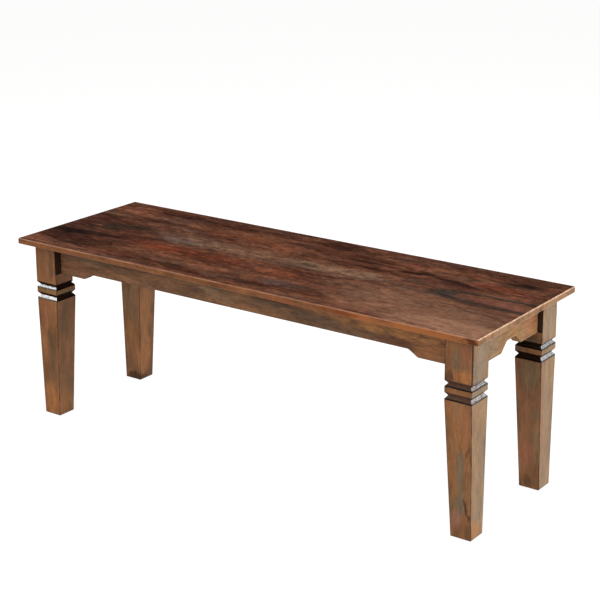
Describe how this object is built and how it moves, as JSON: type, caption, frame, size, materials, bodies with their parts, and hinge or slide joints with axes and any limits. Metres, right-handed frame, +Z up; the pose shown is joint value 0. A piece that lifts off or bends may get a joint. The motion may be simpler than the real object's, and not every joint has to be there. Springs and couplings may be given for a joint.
{
  "type": "wooden bench",
  "caption": "Low backless wooden bench: thin flat top on square tapered legs with V grooves, and aprons with a shallow arched lower edge.",
  "frame": {"origin": "on the floor, under the middle of the top", "axes": "+X along the bench to its right end, +Y to the rear, +Z up; the front is the -Y side"},
  "size_m": [1.25, 0.415, 0.45],
  "materials": {
    "top_wood": "rosewood stained dark red-brown, lacquered satin",
    "leg_wood": "rosewood stained brown, lacquered satin",
    "apron_wood": "rosewood stained brown, lacquered satin",
    "inner_wood": "hardwood, sawn and planed, thin stain",
    "dowel_wood": "beech dowel, bare",
    "zinc_steel": "zinc plated steel",
    "glide_nylon": "moulded black nylon"
  },
  "bodies": {
    "root": {"apron_front": "apron_wood", "apron_left": "apron_wood", "apron_rear": "apron_wood", "apron_right": "apron_wood", "brace_screws": "zinc_steel", "button_screws": "zinc_steel", "corner_brace_front_left": "inner_wood", "corner_brace_front_right": "inner_wood", "corner_brace_rear_left": "inner_wood", "corner_brace_rear_right": "inner_wood", "cross_rail": "inner_wood", "glide_front_left": "glide_nylon", "glide_front_right": "glide_nylon", "glide_nails": "zinc_steel", "glide_rear_left": "glide_nylon", "glide_rear_right": "glide_nylon", "leg_bolt_washers": "zinc_steel", "leg_bolts": "zinc_steel", "leg_front_left": "leg_wood", "leg_front_right": "leg_wood", "leg_rear_left": "leg_wood", "leg_rear_right": "leg_wood", "rail_screws": "zinc_steel", "top_board_front": "top_wood", "top_board_middle": "top_wood", "top_board_rear": "top_wood", "top_buttons": "inner_wood", "top_dowels": "dowel_wood"}
  },
  "joints": []
}
